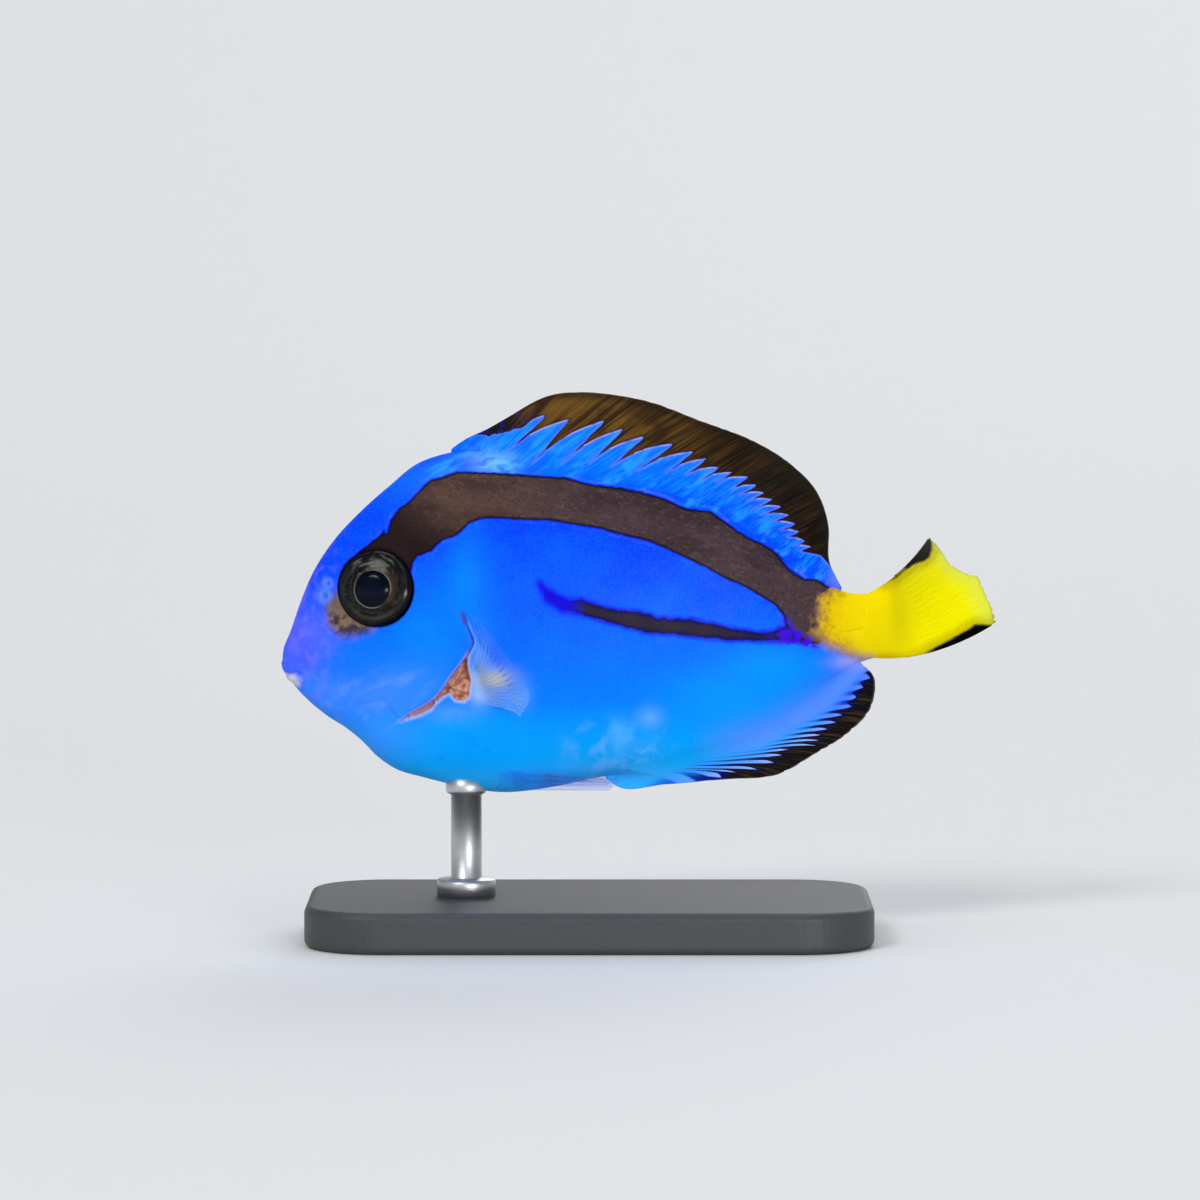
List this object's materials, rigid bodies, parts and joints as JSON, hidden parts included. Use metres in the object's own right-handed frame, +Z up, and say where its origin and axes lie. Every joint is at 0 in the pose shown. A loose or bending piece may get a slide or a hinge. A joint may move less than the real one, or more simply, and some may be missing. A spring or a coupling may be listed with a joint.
{
  "type": "regal blue tang on a display stand",
  "caption": "Life-size still model of a young regal blue tang, tail swung to its right, on a flat base with one short rod.",
  "frame": {"origin": "centre of the stand base's underside, on the surface that it rests on", "axes": "+Z up, the fish faces -X and its left side faces -Y, its tail points to +X and swings to +Y"},
  "size_m": [0.0282, 0.0128, 0.0213],
  "materials": {
    "skin": "moist satin",
    "median_fin": "satin",
    "tail_fin": "satin",
    "clear_fin": "clear, glossy",
    "eye": "glossy",
    "gill": "moist",
    "stand_rod": "satin",
    "stand_base": "satin powder coat"
  },
  "bodies": {
    "root": {"head": "skin", "trunk": "skin", "tail_base": "skin", "dorsal_fin": "median_fin", "anal_fin": "median_fin", "caudal_fin": "tail_fin", "pectoral_fin_left": "clear_fin", "pectoral_fin_right": "clear_fin", "pelvic_fin_left": "clear_fin", "pelvic_fin_right": "clear_fin", "eye_left": "eye", "eye_right": "eye", "gills_left": "gill", "gills_right": "gill", "stand_rod": "stand_rod", "stand_base": "stand_base"}
  },
  "joints": []
}
